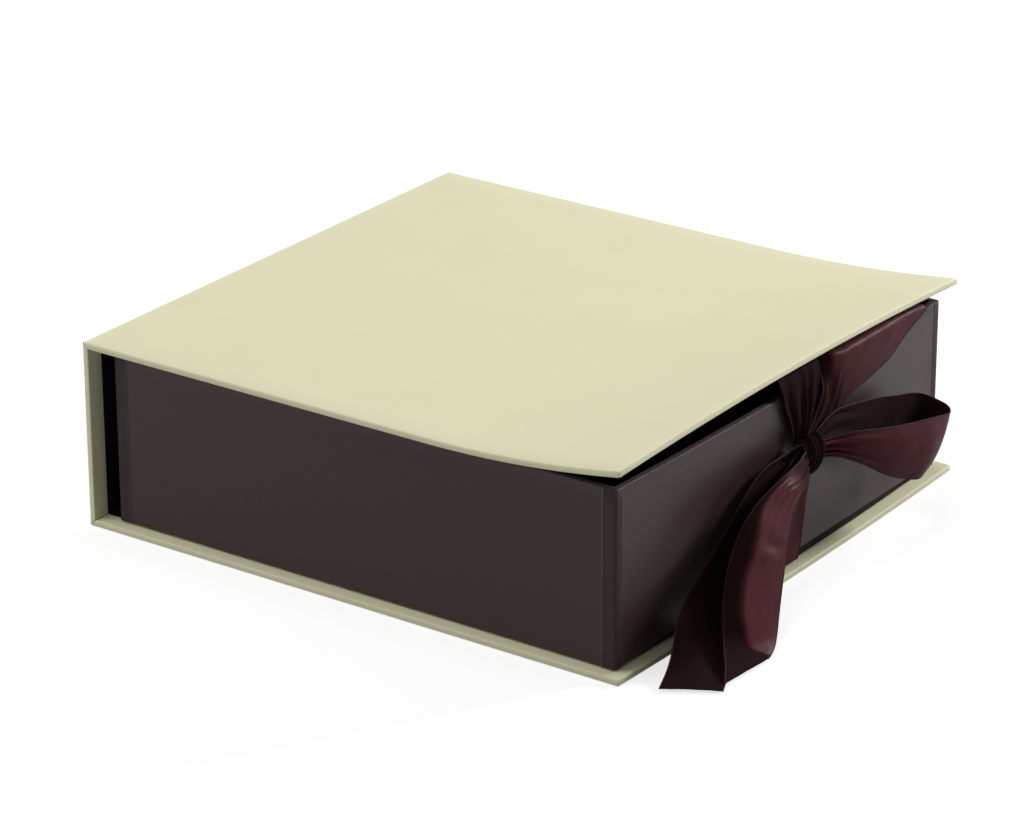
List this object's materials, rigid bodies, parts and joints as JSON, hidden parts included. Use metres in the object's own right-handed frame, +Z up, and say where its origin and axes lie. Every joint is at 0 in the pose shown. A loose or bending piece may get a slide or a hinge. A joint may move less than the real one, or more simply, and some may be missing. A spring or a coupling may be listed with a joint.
{
  "type": "chocolate box",
  "caption": "Book-style rigid chocolate box with a hinged paper-covered case, a glued-in tray with a slotted divider, and a satin ribbon bow that ties it shut.",
  "frame": {"origin": "centre of the base leaf's underside, midway along its length and width, on the surface that the box rests on", "axes": "+X from the spine to the fore edge with the bow, +Y from the near end to the far end, +Z up"},
  "size_m": [0.254, 0.2176, 0.079],
  "materials": {
    "greyboard": "raw",
    "cream_paper": "satin",
    "dark_lining_paper": "matte",
    "brown_wrap_paper": "satin",
    "stay_paper": "matte",
    "pad_paper": "matte",
    "divider_card": "matte",
    "satin_ribbon": "satin"
  },
  "bodies": {
    "base": {"base_board": "greyboard", "base_cover_paper": "cream_paper", "base_lining_paper": "dark_lining_paper", "tray_floor": "greyboard", "tray_front_wall": "greyboard", "tray_back_wall": "greyboard", "tray_near_wall": "greyboard", "tray_far_wall": "greyboard", "tray_corner_stays": "stay_paper", "tray_wrap_paper": "brown_wrap_paper", "tray_lining_paper": "dark_lining_paper", "candy_pad": "pad_paper", "lower_ribbon": "satin_ribbon", "bow_knot": "satin_ribbon", "right_loop": "satin_ribbon", "left_loop": "satin_ribbon", "upper_tail": "satin_ribbon", "lower_tail": "satin_ribbon"},
    "spine": {"spine_board": "greyboard", "spine_cover_paper": "cream_paper", "spine_lining_paper": "dark_lining_paper"},
    "lid": {"lid_board": "greyboard", "lid_cover_paper": "cream_paper", "lid_lining_paper": "dark_lining_paper", "upper_ribbon": "satin_ribbon"},
    "divider": {"divider_long_1": "divider_card", "divider_long_2": "divider_card", "divider_long_3": "divider_card", "divider_long_4": "divider_card", "divider_cross_1": "divider_card", "divider_cross_2": "divider_card", "divider_cross_3": "divider_card", "divider_cross_4": "divider_card"}
  },
  "joints": [
    {"name": "spine_hinge", "type": "hinge", "parent": "base", "child": "spine", "pos_m": [-0.1134, 0, 0], "axis": [0, -1, 0], "range_deg": [0, 88.2]},
    {"name": "lid_hinge", "type": "hinge", "parent": "spine", "child": "lid", "pos_m": [-0.1134, 0, 0.0701], "axis": [0, -1, 0], "range_deg": [0, 90]},
    {"name": "divider_lift", "type": "slide", "parent": "base", "child": "divider", "axis": [0, 0, 1], "range_m": [0, 0.0265]}
  ]
}
